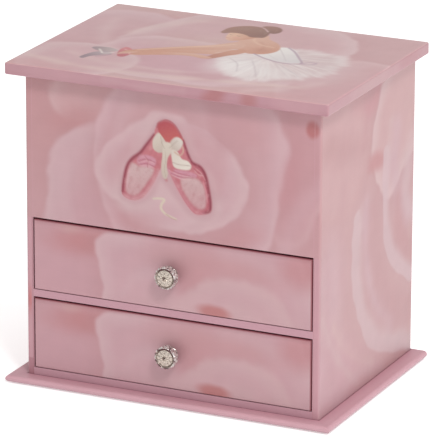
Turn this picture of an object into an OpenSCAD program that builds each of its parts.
// Musical jewellery box with two drawers, a hinged lid and a turning dancer.
// Millimetres. +Z is up, -Y is the front. The origin is on the table, under the centre of the case.

/* [Case] */
// Width across the two side panels
case_w = 172; // [168:1:176]
// Depth from the drawer fronts to the back panel
case_d = 126; // [124:1:128]
// Height of the case between the plinth and the lid
case_h = 169.2; // [168:0.1:172]
// Thickness of the case boards
board_t = 4; // [3.5:0.5:4.5]
// Height of one drawer opening
bay_h = 40.5; // [39:0.5:41]

/* [Lid] */
// Thickness of the lid board
lid_t = 6.6; // [5:0.1:8]
// Overhang of the lid at each side
lid_side = 7.5; // [5:0.5:10]
// Overhang of the lid at the front
lid_front = 9; // [5:0.5:12]

/* [Plinth] */
// Thickness of the plinth board, which has a fully rounded edge
plinth_t = 3.8; // [3.6:0.2:6]
// How far the plinth stands out at each side
plinth_side = 9.5; // [6:0.5:12]
// How far the plinth stands out at the front
plinth_front = 8.5; // [6:0.5:12]
// Thickness of the felt under the plinth
felt_t = 0.5; // [0.4:0.1:1]

/* [Drawers] */
// Gap at each side of a drawer
drawer_gap = 0.6; // [0.4:0.1:0.8]
// Thickness of the drawer's sides and back
drawer_wall = 3; // [2:0.5:4]
// Height of the drawer's sides
drawer_side_h = 33; // [28:1:36]
// Diameter of a knob's head
knob_d = 13; // [11:0.2:14]
// How far a knob stands out from the drawer front
knob_out = 9.4; // [9:0.2:12]

/* [Dancer] */
// Radius of the dancer's skirt
tutu_r = 16.5; // [14:0.5:17]
// Height of the spring's bending point over the turntable
pivot_up = 6; // [5:0.5:7]

/* [Movement] */
// Teeth on the spring barrel
barrel_n = 56; // [56]
// Teeth on the cylinder's pinion
cyl_pinion_n = 16; // [16]
// Teeth on the cylinder's wheel
cyl_wheel_n = 48; // [48]
// Teeth on the governor's first pinion
gov_pinion_n = 12; // [12]
// Teeth on the governor's wheel
gov_wheel_n = 45; // [45]
// Teeth on the fly's pinion
fly_pinion_n = 10; // [10]
// Teeth on the comb
comb_n = 18; // [16:1:18]

/* [Hidden] */
$fn = 48;
e = 0.01;

// Levels
hw = case_w / 2;
hd = case_d / 2;
iw = hw - board_t;          // inside half width
id = hd - board_t;          // inside half depth
z_plinth = felt_t;
z_case = felt_t + plinth_t;
z_top = z_case + case_h;
z_bay1 = z_case + board_t;
z_shelf = z_bay1 + bay_h;
z_bay2 = z_shelf + board_t;
z_ceil = z_bay2 + bay_h;     // lower edge of the fascia
floor_t = 3;
z_floor = z_ceil + floor_t;  // top of the compartment's floor
line_t = 1.5;
z_in = z_floor + line_t;     // top of the lining's floor

// Hinge
hinge_y = hd + 1.7;
hinge_r = 1.6;
pin_r = 0.8;

// Movement positions
cyl_x = 0;
cyl_z = 119;
mod1 = 0.5;
barrel_x = cyl_x + mod1 * (barrel_n + cyl_pinion_n) / 2;
barrel_z = cyl_z;
mod2 = 0.4;
gov_a = 225;
gov_d = mod2 * (cyl_wheel_n + gov_pinion_n) / 2;
gov_x = cyl_x + gov_d * cos(gov_a);
gov_z = cyl_z + gov_d * sin(gov_a);
mod3 = 0.35;
fly_a = 202;
fly_d = mod3 * (gov_wheel_n + fly_pinion_n) / 2;
fly_x = gov_x + fly_d * cos(fly_a);
fly_z = gov_z + fly_d * sin(fly_a);
mod4 = 0.6;
take_n = 16;
crown_n = 24;
crown_r = mod4 * crown_n / 2;
take_y = 28;                 // middle of the take-off pinion
dancer_y = take_y - crown_r;
plate_f = 30;                // front face of the front plate
plate_b = 56;                // front face of the back plate
plate_t = 1.5;
pillars = [[-24.5, 101], [31, 102], [-24.5, 133], [31, 133]];
cover_top = 143;
cover_w = 41;
cover_y = 8;
cover_t = 2;
table_z = cover_top + 1;
pivot_z = table_z + 2.5 + pivot_up;
plunger_x = -30;
plunger_y = 44;

// ---------- helpers ----------
module box(a, b) { translate(a) cube([b[0] - a[0], b[1] - a[1], b[2] - a[2]]); }
module along_y(y0, y1) { translate([0, y1, 0]) rotate([90, 0, 0]) linear_extrude(y1 - y0) children(); }
module cyl_y(x, z, r, y0, y1) { translate([x, y1, z]) rotate([90, 0, 0]) cylinder(r = r, h = y1 - y0); }
module cyl_x(y, z, r, x0, x1) { translate([x0, y, z]) rotate([0, 90, 0]) cylinder(r = r, h = x1 - x0); }
module cyl_z(x, y, r, z0, z1) { translate([x, y, z0]) cylinder(r = r, h = z1 - z0); }

// Involute gear outline with a tooth centred on angle ph
function inv(a) = tan(a) * 180 / PI - a;
function half_at(r, n, m, b) = let (rp = n * m / 2, rb = rp * cos(20), a = acos(min(1, rb / max(r, rb))))
  90 / n - b / (2 * rp) * 180 / PI + inv(20) - inv(a);
function gear_pts(n, m, b, ad, dd, ph) = let (
    rp = n * m / 2, ra = rp + ad * m, rf = rp - dd * m, r0 = max(rf, rp * cos(20)), k = 3)
  [for (t = [0:n - 1]) each let (c = ph + t * 360 / n) concat(
    [[rf, c - half_at(r0, n, m, b)]],
    [for (i = [(r0 > rf ? 0 : 1):k]) let (r = r0 + (ra - r0) * i / k) [r, c - half_at(r, n, m, b)]],
    [for (i = [k:-1:(r0 > rf ? 0 : 1)]) let (r = r0 + (ra - r0) * i / k) [r, c + half_at(r, n, m, b)]],
    [[rf, c + half_at(r0, n, m, b)]])];
module gear(n, m, ph = 0, b = 0.1, ad = 0.85, dd = 1.15) {
  polygon([for (p = gear_pts(n, m, b, ad, dd, ph)) p[0] * [cos(p[1]), sin(p[1])]]);
}

// ---------- case ----------
module base_felt() { color("palevioletred") box([-hw - plinth_side + 4, -hd - plinth_front + 4, 0], [hw + plinth_side - 4, hd - 2, felt_t]); }

function nose(r, c, side, n = 10) = [for (i = [0:n]) let (a = -90 + 180 * i / n) [c + side * r * cos(a), r + r * sin(a)]];
module plinth_board() {
  r = plinth_t / 2;
  px = hw + plinth_side - r;
  py = hd + plinth_front - r;
  color("pink") translate([0, 0, z_plinth]) intersection() {
    translate([0, hd + e, 0]) rotate([90, 0, 0]) linear_extrude(2 * hd + plinth_front + 1)
      polygon(concat(nose(r, px, 1), [for (p = nose(r, px, 1)) [-p[0], plinth_t - p[1]]]));
    translate([-hw - plinth_side - 1, 0, 0]) rotate([90, 0, 90]) linear_extrude(2 * (hw + plinth_side + 1))
      polygon(concat([[hd, plinth_t], [hd, 0]], nose(r, -py, -1)));
  }
}
module side_panel(s) { color("pink") box([s > 0 ? iw : -hw, -hd, z_case], [s > 0 ? hw : -iw, hd, z_top]); }
module left_side_panel() side_panel(-1);
module right_side_panel() side_panel(1);
module back_panel() color("pink") difference() {
  box([-iw, id, z_case], [iw, hd, z_top]);
  cyl_y(barrel_x, barrel_z, 3.5, id - 1, hd + 1);
}
module front_fascia() color("pink") box([-iw, -hd, z_ceil], [iw, -id, z_top]);
module case_bottom() color("pink") box([-iw, -hd, z_case], [iw, id, z_bay1]);
module drawer_shelf() color("pink") box([-iw, -hd, z_shelf], [iw, id, z_bay2]);
module compartment_floor() color("pink") box([-iw, -id, z_ceil], [iw, id, z_floor]);

// ---------- upper compartment ----------
line_top = z_top - 4;
module compartment_lining() color("lavenderblush") difference() {
  box([-iw, -id, z_floor], [iw, id, line_top]);
  box([-iw + line_t, -id + line_t, z_in], [iw - line_t, id - line_t, line_top + 1]);
  cyl_y(barrel_x, barrel_z, 4, id - line_t - 1, id + 1);
}
module tray_dividers() color("lavenderblush") {
  box([-1, -id + line_t, z_in], [1, cover_y, z_in + 28]);
  for (s = [-1, 1]) box([s > 0 ? cover_w : -iw + line_t, cover_y, z_in], [s > 0 ? iw - line_t : -cover_w, cover_y + 2, z_in + 28]);
}
ring_x0 = -iw + line_t + 1;
ring_x1 = -2;
ring_n = 5;
ring_p = 12.4;
ring_y0 = -id + line_t + 1.2;
module ring_roll_base() color("lavenderblush") box([ring_x0, ring_y0, z_in], [ring_x1, ring_y0 + ring_n * ring_p, z_in + 12]);
module ring_rolls() color("pink") difference() {
  for (i = [0:ring_n - 1]) cyl_x(ring_y0 + ring_p * (i + 0.5), z_in + 14, 6, ring_x0 + 1, ring_x1 - 1);
  box([ring_x0, ring_y0, z_in], [ring_x1, ring_y0 + ring_n * ring_p, z_in + 12]);
}
module music_cover() color("lavenderblush") difference() {
  box([-cover_w, cover_y, z_in], [cover_w, id - line_t, cover_top]);
  box([-cover_w + cover_t, cover_y + cover_t, z_in - 1], [cover_w - cover_t, id + 1, cover_top - cover_t]);
  cyl_z(0, dancer_y, 3, cover_top - 5, cover_top + 1);
  cyl_z(plunger_x, plunger_y, 0.9, cover_top - 5, cover_top + 1);
}

// ---------- lid ----------
module lid_board() color("pink") box([-hw - lid_side, -hd - lid_front, z_top], [hw + lid_side, hd, z_top + lid_t]);
mir_x = 65;
mir_y0 = -43;
mir_y1 = 39;
module mirror_glass() color("lightcyan") box([-mir_x, mir_y0, z_top - 1.8], [mir_x, mir_y1, z_top]);
module mirror_frame() color("lavenderblush") difference() {
  box([-mir_x - 10, mir_y0 - 10, z_top - 2.6], [mir_x + 10, mir_y1 + 10, z_top]);
  box([-mir_x, mir_y0, z_top - 1.8], [mir_x, mir_y1, z_top + 1]);
  box([-mir_x + 2, mir_y0 + 2, z_top - 4], [mir_x - 2, mir_y1 - 2, z_top]);
}

// ---------- hinges ----------
hinge_xs = [-52, 52];
hinge_w = 20;
function knuckles(lid) = lid ? [[-hinge_w / 2 + 4.1, -2.1], [2.1, hinge_w / 2 - 4.1]] : [[-hinge_w / 2, -hinge_w / 2 + 3.9], [-1.9, 1.9], [hinge_w / 2 - 3.9, hinge_w / 2]];
module leaf(lid) {
  s = lid ? 1 : -1;
  for (x = hinge_xs) translate([x, 0, 0]) difference() {
    union() {
      box([-hinge_w / 2, hd, z_top + (lid ? hinge_r + 0.25 : -6)], [hinge_w / 2, hd + 0.7, z_top + (lid ? 6 : -hinge_r - 0.25)]);
      for (k = knuckles(lid)) {
        cyl_x(hinge_y, z_top, hinge_r, k[0], k[1]);
        box([k[0], hd, lid ? z_top : z_top - hinge_r - 0.5], [k[1], hd + 0.7, lid ? z_top + hinge_r + 0.5 : z_top]);
      }
    }
    cyl_x(hinge_y, z_top, lid ? pin_r + 0.06 : pin_r, -hinge_w, hinge_w);
    for (dx = [-6, 6]) cyl_y(dx, z_top + s * 4.1, 0.8, hd - 1, hd + 2);
  }
}
module hinge_case_leaves() color("goldenrod") leaf(false);
module hinge_lid_leaves() color("goldenrod") leaf(true);
module hinge_pins() color("goldenrod") for (x = hinge_xs) cyl_x(hinge_y, z_top, pin_r, x - hinge_w / 2 - 0.4, x + hinge_w / 2 + 0.4);
module small_screws(s) color("gold") for (x = hinge_xs, dx = [-6, 6]) {
  cyl_y(x + dx, z_top + s * 4.1, 1.4, hd + 0.7, hd + 1.2);
  cyl_y(x + dx, z_top + s * 4.1, 0.8, hd - 3, hd + 0.8);
}
module hinge_case_screws() small_screws(-1);
module hinge_lid_screws() small_screws(1);

// ---------- drawers ----------
dh = bay_h - 1.2;
module drawer_front(z0) color("pink") difference() {
  box([-iw + drawer_gap, -hd, z0 + 0.3], [iw - drawer_gap, -id, z0 + 0.3 + dh]);
  cyl_y(0, z0 + 0.3 + dh / 2, 1.5, -hd - 1, -id + 1);
}
d_back = id - 2.5;
module drawer_sides(z0) color("pink") for (s = [-1, 1])
  box([s > 0 ? iw - drawer_gap - drawer_wall : -iw + drawer_gap, -id, z0 + 0.3], [s > 0 ? iw - drawer_gap : -iw + drawer_gap + drawer_wall, d_back, z0 + 0.3 + drawer_side_h]);
d_in = iw - drawer_gap - drawer_wall;
module drawer_back(z0) color("pink") box([-d_in, d_back - drawer_wall, z0 + 0.3], [d_in, d_back, z0 + 0.3 + drawer_side_h]);
module drawer_bottom(z0) color("pink") box([-d_in, -id, z0 + 0.3], [d_in, d_back - drawer_wall, z0 + 2.3]);
module drawer_lining(z0) color("lavenderblush") difference() {
  box([-d_in, -id, z0 + 2.3], [d_in, d_back - drawer_wall, z0 + drawer_side_h - 1]);
  box([-d_in + 1, -id + 1, z0 + 3.3], [d_in - 1, d_back - drawer_wall - 1, z0 + drawer_side_h + 1]);
  cyl_y(0, z0 + 0.3 + dh / 2, 3.2, -id - 1, -id + 2);
}
module knob(z0) {
  kr = knob_d / 2;
  color("gainsboro") translate([0, -hd, z0 + 0.3 + dh / 2]) rotate([90, 0, 0]) difference() {
    rotate_extrude() polygon([[0, 1], [0, 0], [4, 0], [4, 0.7], [2.6, 1.3], [2.4, knob_out - 6.6], [kr - 1.2, knob_out - 6],
      [kr, knob_out - 4.8], [kr, knob_out - 1.6], [kr - 0.9, knob_out - 0.5], [kr - 1.4, knob_out - 0.4], [kr - 1.9, knob_out - 0.9], [1.6, knob_out - 0.5], [1.3, knob_out], [0, knob_out]]);
    cylinder(r = 1.2, h = 14, center = true);
    for (i = [0:19]) rotate([0, 0, i * 18]) translate([kr + 0.45, 0, knob_out - 6.5]) cylinder(r = 0.7, h = 7);
  }
}
module knob_screw(z0) color("silver") translate([0, 0, z0 + 0.3 + dh / 2]) {
  cyl_y(0, 0, 2.6, -id, -id + 1.4);
  cyl_y(0, 0, 1.2, -hd - 6.5, -id + 0.1);
}
module upper_drawer_front() drawer_front(z_bay2);
module upper_drawer_sides() drawer_sides(z_bay2);
module upper_drawer_back() drawer_back(z_bay2);
module upper_drawer_bottom() drawer_bottom(z_bay2);
module upper_drawer_lining() drawer_lining(z_bay2);
module upper_knob() knob(z_bay2);
module upper_knob_screw() knob_screw(z_bay2);
module lower_drawer_front() drawer_front(z_bay1);
module lower_drawer_sides() drawer_sides(z_bay1);
module lower_drawer_back() drawer_back(z_bay1);
module lower_drawer_bottom() drawer_bottom(z_bay1);
module lower_drawer_lining() drawer_lining(z_bay1);
module lower_knob() knob(z_bay1);
module lower_knob_screw() knob_screw(z_bay1);

// ---------- movement ----------
run = 0.06;
p_x0 = -27;
p_x1 = 34;
p_z1 = 136;
module movement_back_plate() color("silver") difference() {
  box([p_x0, plate_b, z_in], [p_x1, plate_b + plate_t, p_z1]);
  cyl_y(cyl_x, cyl_z, 1 + run, plate_b - 1, plate_b + 3);
  cyl_y(barrel_x, barrel_z, 1.6 + run, plate_b - 1, plate_b + 3);
  cyl_y(gov_x, gov_z, 0.6 + run, plate_b - 1, plate_b + 3);
  cyl_y(fly_x, fly_z, 0.6 + run, plate_b - 1, plate_b + 3);
  for (p = pillars) cyl_y(p[0], p[1], 1, plate_b - 1, plate_b + 3);
  cyl_y(click_x, click_z, 0.7, plate_b - 1, plate_b + 3);
}
module movement_front_plate() color("silver") difference() {
  union() {
    box([p_x0, plate_f, z_in], [p_x1, plate_f + plate_t, p_z1]);
    box([-3.5, dancer_y - 3.5, cyl_z - 10], [3.5, plate_f + e, cyl_z - 7.5]);
  }
  cyl_y(cyl_x, cyl_z, 1 + run, plate_f - 1, plate_f + 3);
  cyl_y(barrel_x, barrel_z, 1.6 + run, plate_f - 1, plate_f + 3);
  cyl_y(gov_x, gov_z, 0.6 + run, plate_f - 1, plate_f + 3);
  cyl_y(fly_x, fly_z, 0.6 + run, plate_f - 1, plate_f + 3);
  for (p = pillars) cyl_y(p[0], p[1], 1, plate_f - 1, plate_f + 3);
  cyl_z(0, dancer_y, 1.2 + run, cyl_z - 11, cyl_z - 6);
}
module plate_pillars() color("goldenrod") for (p = pillars) {
  cyl_y(p[0], p[1], 1.8, plate_f + plate_t, plate_b);
  cyl_y(p[0], p[1], 1, plate_f - 0.5, plate_b + plate_t);
}
module comb_bridge() color("silver") difference() {
  box([-26, plate_f + plate_t, cyl_z - 3.5], [-16.5, plate_b, cyl_z - 0.4]);
  for (y = [40.5, 47.5]) cyl_z(-20.8, y, 1.2, cyl_z - 5, cyl_z + 1);
}
pin_tip = 6.3;
comb_p = 0.78;
comb_y0 = 44 - comb_n * comb_p / 2;
module tone_comb() color("slategray") difference() {
  box([-25.5, comb_y0, cyl_z - 0.4], [-pin_tip - 0.15, comb_y0 + comb_n * comb_p, cyl_z + 0.4]);
  for (i = [1:comb_n - 1]) box([-14.5 - 2 * i / comb_n, comb_y0 + i * comb_p - 0.12, cyl_z - 1], [-5, comb_y0 + i * comb_p + 0.12, cyl_z + 1]);
  for (y = [40.5, 47.5]) cyl_z(-20.8, y, 1.2, cyl_z - 1, cyl_z + 1);
}
module comb_screws() color("steelblue") for (y = [40.5, 47.5]) {
  cyl_z(-20.8, y, 2.1, cyl_z + 0.4, cyl_z + 1.8);
  cyl_z(-20.8, y, 1.2, cyl_z - 3.4, cyl_z + 0.5);
}
module mainspring_barrel() color("goldenrod") difference() {
  union() {
    translate([barrel_x, 0, barrel_z]) along_y(52.5, 54.5) gear(barrel_n, mod1, 180);
    cyl_y(barrel_x, barrel_z, 11.2, 37, 52.6);
  }
  cyl_y(barrel_x, barrel_z, 10.4, 38, 52);
  cyl_y(barrel_x, barrel_z, 1.6 + run, 36, 56);
}
// A spiral strip of seven and a half turns
function spiral(r0, r1, turns, w, n) = concat(
  [for (i = [0:n]) let (a = 360 * turns * i / n, r = r0 + (r1 - r0) * i / n) (r - w / 2) * [cos(a), sin(a)]],
  [for (i = [n:-1:0]) let (a = 360 * turns * i / n, r = r0 + (r1 - r0) * i / n) (r + w / 2) * [cos(a), sin(a)]]);
module mainspring() color("dimgray") translate([barrel_x, 0, barrel_z]) along_y(38.5, 51.5) polygon(spiral(2.3, 10.2, 7.5, 0.35, 150));
module winding_arbor() color("silver") difference() {
  union() {
    cyl_y(barrel_x, barrel_z, 1.6, plate_f - 0.5, 69);
    translate([barrel_x, 0, barrel_z]) along_y(54.8, 55.7)
      polygon([for (i = [0:19]) each [4.9 * [cos(i * 18), sin(i * 18)], 4.1 * [cos(i * 18 + 2), sin(i * 18 + 2)]]]);
  }
}
module winding_key() color("goldenrod") difference() {
  union() {
    cyl_y(barrel_x, barrel_z, 3, 64.5, 71);
    translate([barrel_x, 0, barrel_z]) translate([0, 0, -0.8]) linear_extrude(1.6) union() {
      for (s = [-1, 1]) translate([s * 5.6, 76]) circle(r = 5.2);
      translate([-3, 66]) square([6, 11]);
    }
  }
  for (s = [-1, 1]) translate([barrel_x + s * 6.2, 76.3, barrel_z - 2]) cylinder(r = 2.3, h = 4);
  cyl_y(barrel_x, barrel_z, 1.6, 60, 69);
}
click_x = barrel_x + 7.4;
click_z = barrel_z + 5.2;
module click() color("silver") union() {
  cyl_y(click_x, click_z, 0.64, 54.9, 57.4);
  translate([click_x, 0, click_z]) along_y(54.9, 55.6) union() {
    circle(r = 1.5);
    rotate(0) polygon([[-1.3, 0.9], [1.3, 0.6], [-0.6, -5.2], [-2.1, -5.25]]);
  }
}
module cylinder_drum() color("gold") difference() {
  union() {
    cyl_y(cyl_x, cyl_z, 5.8, 36.5, 51.5);
    for (i = [0:comb_n - 1], k = [0:2]) translate([cyl_x, comb_y0 + (i + 0.5) * comb_p, cyl_z])
      rotate([0, (i * 47 + k * 120 + (i % 3) * 13) % 360, 0]) translate([5.5, 0, 0]) rotate([0, 90, 0]) cylinder(r = 0.18, h = pin_tip - 5.5, $fn = 16);
  }
  cyl_y(cyl_x, cyl_z, 5, 37.3, 50.7);
  cyl_y(cyl_x, cyl_z, 1, 36, 52);
}
module cylinder_arbor() color("goldenrod") union() {
  cyl_y(cyl_x, cyl_z, 1, 26, 57.3);
  translate([cyl_x, 0, cyl_z]) {
    along_y(52.2, 54.8) gear(cyl_pinion_n, mod1, 180 / cyl_pinion_n);
    along_y(33.9, 35.4) gear(cyl_wheel_n, mod2, gov_a);
    along_y(take_y - 0.8, take_y + 0.8) gear(take_n, mod4, 90 + 180 / take_n, 0.26, 0.75, 1.05);
  }
}
module governor_wheel() color("ivory") union() {
  cyl_y(gov_x, gov_z, 0.6, 29.6, 57.3);
  translate([gov_x, 0, gov_z]) {
    along_y(33.7, 35.6) gear(gov_pinion_n, mod2, gov_a + 180 + 180 / gov_pinion_n, 0.1, 0.75);
    along_y(32.1, 33.3) gear(gov_wheel_n, mod3, fly_a, 0.1, 0.75);
  }
}
module governor_fly() color("ivory") union() {
  cyl_y(fly_x, fly_z, 0.6, 29.6, 57.3);
  translate([fly_x, 0, fly_z]) {
    along_y(32, 33.5) gear(fly_pinion_n, mod3, fly_a + 180 + 180 / fly_pinion_n, 0.1, 0.75);
    along_y(38, 50) union() {
      circle(r = 1.4);
      translate([-5.7, -0.35]) square([11.4, 0.7]);
    }
  }
}
module spindle_bushing() color("ivory") difference() {
  union() {
    cyl_z(0, dancer_y, 3, cover_top - cover_t - 1, cover_top);
    cyl_z(0, dancer_y, 4.2, cover_top, cover_top + 0.5);
  }
  cyl_z(0, dancer_y, 1.2 + run, cover_top - 5, cover_top + 2);
}
crown_z = cyl_z + mod4 * take_n / 2;   // pitch plane of the contrate wheel
module contrate_wheel() color("ivory") union() {
  cyl_z(0, dancer_y, 1.2, cyl_z - 10.2, table_z + 2.5);
  cyl_z(0, dancer_y, 2.4, cyl_z - 7.4, crown_z + 3.4);
  cyl_z(0, dancer_y, 8.1, crown_z + 0.75, crown_z + 2);
  for (i = [0:crown_n - 1]) translate([0, dancer_y, crown_z]) rotate([0, 0, 90 + i * 360 / crown_n])
    translate([6.3, 0, 0]) rotate([90, 0, 90]) linear_extrude(1.8) polygon([[-0.5, 0.8], [0.5, 0.8], [0.2, -0.4], [-0.2, -0.4]]);
}
module turntable() color("gold") difference() {
  union() {
    cyl_z(0, dancer_y, 9, table_z, table_z + 1.6);
    cyl_z(0, dancer_y, 7.6, table_z + 1.6, table_z + 2.5);
    cyl_z(0, dancer_y, 1.7, table_z + 2.5, table_z + 4);
  }
  cyl_z(0, dancer_y, 1.2, table_z - 1, table_z + 2.5);
}
module stop_plunger() color("silver") union() {
  cyl_z(plunger_x, plunger_y, 0.8, fly_z + 0.4, z_top - 4.2);
  cyl_z(plunger_x, plunger_y, 2, z_top - 4.3, z_top - 2.9);
  cyl_x(plunger_y, fly_z + 1, 0.6, plunger_x, fly_x - 6.1);
}

// ---------- dancer, drawn standing at the bending point and laid forward ----------
module laid() translate([0, dancer_y, pivot_z]) rotate([90, 0, 0]) children();
module dancer_spring() color("silver") translate([0, dancer_y, pivot_z - 6]) rotate([0, -90, 0])
  translate([0, -6, 0]) rotate_extrude(angle = 90) translate([6, 0]) difference() { circle(r = 2.3); circle(r = 1.9); }
module dancer_figure() color("mistyrose") laid() union() {
  rotate_extrude() polygon([[0, 6], [2.3, 6], [2.3, 8], [1.1, 9], [0.8, 11], [1.3, 16], [1.5, 18], [1.6, 22], [2.3, 29], [3.4, 31], [3.7, 33], [3.7, 35.4], [2.7, 38], [3.3, 41], [3.5, 43.5],
    [2.6, 45], [1.1, 45.8], [1.0, 48], [2.4, 49.2], [3.0, 51], [2.9, 53], [2.2, 54.6], [1.6, 55], [1.9, 56.2], [1.3, 57.2], [0, 57.5]]);
  for (s = [-1, 1]) {
    hull() { translate([s * 3.4, 0, 43]) sphere(r = 1.0, $fn = 16); translate([s * 7.4, -1.5, 49]) sphere(r = 0.8, $fn = 16); }
    hull() { translate([s * 7.4, -1.5, 49]) sphere(r = 0.8, $fn = 16); translate([s * 1.8, -2, 60.5]) sphere(r = 0.6, $fn = 16); }
  }
  hull() { translate([1.2, 0, 29]) sphere(r = 1.8, $fn = 16); translate([7, -2.5, 22]) sphere(r = 1.2, $fn = 16); }
  hull() { translate([7, -2.5, 22]) sphere(r = 1.2, $fn = 16); translate([1.6, -0.8, 15.5]) sphere(r = 0.7, $fn = 16); }
}
module dancer_tutu() color("white") laid() rotate_extrude() polygon([[3.74, 33.4], [tutu_r - 0.5, 30], [tutu_r, 31], [tutu_r - 0.3, 33], [3.74, 35.2]]);

base_felt();
plinth_board();
left_side_panel();
right_side_panel();
back_panel();
front_fascia();
case_bottom();
drawer_shelf();
compartment_floor();
compartment_lining();
tray_dividers();
ring_roll_base();
ring_rolls();
music_cover();
lid_board();
mirror_glass();
mirror_frame();
hinge_case_leaves();
hinge_lid_leaves();
hinge_pins();
hinge_case_screws();
hinge_lid_screws();
upper_drawer_front();
upper_drawer_sides();
upper_drawer_back();
upper_drawer_bottom();
upper_drawer_lining();
upper_knob();
upper_knob_screw();
lower_drawer_front();
lower_drawer_sides();
lower_drawer_back();
lower_drawer_bottom();
lower_drawer_lining();
lower_knob();
lower_knob_screw();
movement_back_plate();
movement_front_plate();
plate_pillars();
comb_bridge();
tone_comb();
comb_screws();
mainspring_barrel();
mainspring();
winding_arbor();
winding_key();
click();
cylinder_drum();
cylinder_arbor();
governor_wheel();
governor_fly();
spindle_bushing();
contrate_wheel();
turntable();
stop_plunger();
dancer_spring();
dancer_figure();
dancer_tutu();
